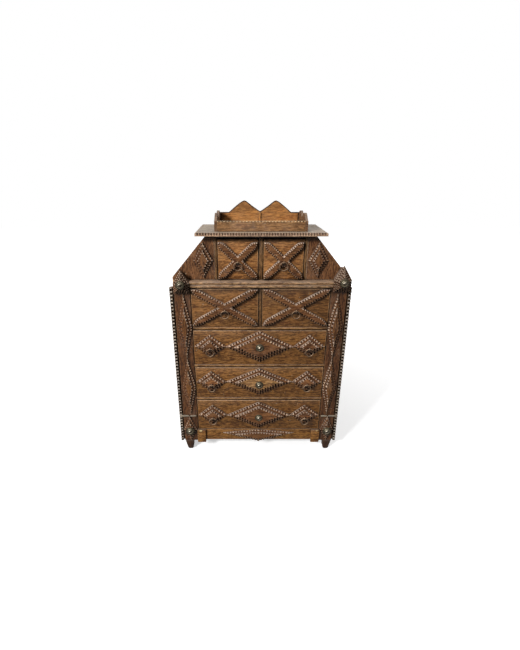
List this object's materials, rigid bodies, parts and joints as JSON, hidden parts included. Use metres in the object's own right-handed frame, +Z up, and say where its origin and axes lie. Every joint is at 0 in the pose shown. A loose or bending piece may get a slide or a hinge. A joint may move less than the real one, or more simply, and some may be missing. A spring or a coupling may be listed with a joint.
{
  "type": "drawer cabinet",
  "caption": "Notch-carved chest of sliding drawers with ring pulls, layered lozenge and cross ornament, a sloped upper case, an open peaked tray on top and peg feet.",
  "frame": {"origin": "middle of the box round the chest, on the surface that the feet stand on", "axes": "+Z up, the drawers face -Y, +X to the right as seen from the front"},
  "size_m": [0.369, 0.1544, 0.565],
  "materials": {
    "drawer_wood": "warm brown wood, waxed, worn",
    "case_wood": "red-brown stained wood, dull wax",
    "carved_wood": "red-brown stained wood with pale worn notches",
    "bare_wood": "unfinished thin board",
    "brass": "dull, dark patina with bright high points",
    "ring_wire": "dark drawn wire, rubbed bright below"
  },
  "bodies": {
    "case": {"apron": "case_wood", "apron_lens": "carved_wood", "back_panel": "bare_wood", "case_studs": "brass", "corner_houses": "carved_wood", "drawer_shelves": "case_wood", "drawer_uprights": "case_wood", "feet": "case_wood", "ledge": "case_wood", "left_post": "case_wood", "left_post_ornament": "carved_wood", "left_side_panel": "case_wood", "right_post": "case_wood", "right_post_ornament": "carved_wood", "right_side_panel": "case_wood", "sloped_boards": "case_wood", "top_board": "case_wood", "tray_back": "drawer_wood", "tray_rail": "case_wood", "tray_sides": "case_wood", "wing_diamonds": "carved_wood", "wing_panels": "case_wood"},
    "upper_left_drawer": {"upper_left_front": "drawer_wood", "upper_left_box": "bare_wood", "upper_left_cross": "carved_wood", "upper_left_eye": "brass"},
    "upper_left_pull": {"upper_left_ring": "ring_wire"},
    "upper_right_drawer": {"upper_right_front": "drawer_wood", "upper_right_box": "bare_wood", "upper_right_cross": "carved_wood", "upper_right_eye": "brass"},
    "upper_right_pull": {"upper_right_ring": "ring_wire"},
    "middle_left_drawer": {"middle_left_front": "drawer_wood", "middle_left_box": "bare_wood", "middle_left_cross": "carved_wood", "middle_left_eye": "brass"},
    "middle_left_pull": {"middle_left_ring": "ring_wire"},
    "middle_right_drawer": {"middle_right_front": "drawer_wood", "middle_right_box": "bare_wood", "middle_right_cross": "carved_wood", "middle_right_eye": "brass"},
    "middle_right_pull": {"middle_right_ring": "ring_wire"},
    "long_top_drawer": {"long_top_front": "drawer_wood", "long_top_box": "bare_wood", "long_top_lozenges": "carved_wood", "long_top_fittings": "brass"},
    "long_top_pull_left": {"long_top_ring_left": "ring_wire"},
    "long_top_pull_right": {"long_top_ring_right": "ring_wire"},
    "long_middle_drawer": {"long_middle_front": "drawer_wood", "long_middle_box": "bare_wood", "long_middle_lozenges": "carved_wood", "long_middle_fittings": "brass"},
    "long_middle_pull_left": {"long_middle_ring_left": "ring_wire"},
    "long_middle_pull_right": {"long_middle_ring_right": "ring_wire"},
    "long_bottom_drawer": {"long_bottom_front": "drawer_wood", "long_bottom_box": "bare_wood", "long_bottom_lozenges": "carved_wood", "long_bottom_fittings": "brass"},
    "long_bottom_pull_left": {"long_bottom_ring_left": "ring_wire"},
    "long_bottom_pull_right": {"long_bottom_ring_right": "ring_wire"}
  },
  "joints": [
    {"name": "upper_left_drawer_slide", "type": "slide", "parent": "case", "child": "upper_left_drawer", "axis": [0, -1, 0], "range_m": [0, 0.08]},
    {"name": "upper_left_pull_hinge", "type": "hinge", "parent": "upper_left_drawer", "child": "upper_left_pull", "pos_m": [-0.04545, -0.0513, 0.45585], "axis": [-1, 0, 0], "range_deg": [-8, 175]},
    {"name": "upper_right_drawer_slide", "type": "slide", "parent": "case", "child": "upper_right_drawer", "axis": [0, -1, 0], "range_m": [0, 0.08]},
    {"name": "upper_right_pull_hinge", "type": "hinge", "parent": "upper_right_drawer", "child": "upper_right_pull", "pos_m": [0.04545, -0.0513, 0.45585], "axis": [-1, 0, 0], "range_deg": [-8, 175]},
    {"name": "middle_left_drawer_slide", "type": "slide", "parent": "case", "child": "middle_left_drawer", "axis": [0, -1, 0], "range_m": [0, 0.09]},
    {"name": "middle_left_pull_hinge", "type": "hinge", "parent": "middle_left_drawer", "child": "middle_left_pull", "pos_m": [-0.07268, -0.0643, 0.359], "axis": [-1, 0, 0], "range_deg": [-8, 175]},
    {"name": "middle_right_drawer_slide", "type": "slide", "parent": "case", "child": "middle_right_drawer", "axis": [0, -1, 0], "range_m": [0, 0.09]},
    {"name": "middle_right_pull_hinge", "type": "hinge", "parent": "middle_right_drawer", "child": "middle_right_pull", "pos_m": [0.07268, -0.0643, 0.359], "axis": [-1, 0, 0], "range_deg": [-8, 175]},
    {"name": "long_top_drawer_slide", "type": "slide", "parent": "case", "child": "long_top_drawer", "axis": [0, -1, 0], "range_m": [0, 0.09]},
    {"name": "long_top_pull_left_hinge", "type": "hinge", "parent": "long_top_drawer", "child": "long_top_pull_left", "pos_m": [-0.1056, -0.0658, 0.2736], "axis": [-1, 0, 0], "range_deg": [-8, 175]},
    {"name": "long_top_pull_right_hinge", "type": "hinge", "parent": "long_top_drawer", "child": "long_top_pull_right", "pos_m": [0.1056, -0.0658, 0.2736], "axis": [-1, 0, 0], "range_deg": [-8, 175]},
    {"name": "long_middle_drawer_slide", "type": "slide", "parent": "case", "child": "long_middle_drawer", "axis": [0, -1, 0], "range_m": [0, 0.09]},
    {"name": "long_middle_pull_left_hinge", "type": "hinge", "parent": "long_middle_drawer", "child": "long_middle_pull_left", "pos_m": [-0.1056, -0.0658, 0.18545], "axis": [-1, 0, 0], "range_deg": [-8, 175]},
    {"name": "long_middle_pull_right_hinge", "type": "hinge", "parent": "long_middle_drawer", "child": "long_middle_pull_right", "pos_m": [0.1056, -0.0658, 0.18545], "axis": [-1, 0, 0], "range_deg": [-8, 175]},
    {"name": "long_bottom_drawer_slide", "type": "slide", "parent": "case", "child": "long_bottom_drawer", "axis": [0, -1, 0], "range_m": [0, 0.09]},
    {"name": "long_bottom_pull_left_hinge", "type": "hinge", "parent": "long_bottom_drawer", "child": "long_bottom_pull_left", "pos_m": [-0.1056, -0.0658, 0.0967], "axis": [-1, 0, 0], "range_deg": [-8, 175]},
    {"name": "long_bottom_pull_right_hinge", "type": "hinge", "parent": "long_bottom_drawer", "child": "long_bottom_pull_right", "pos_m": [0.1056, -0.0658, 0.0967], "axis": [-1, 0, 0], "range_deg": [-8, 175]}
  ]
}
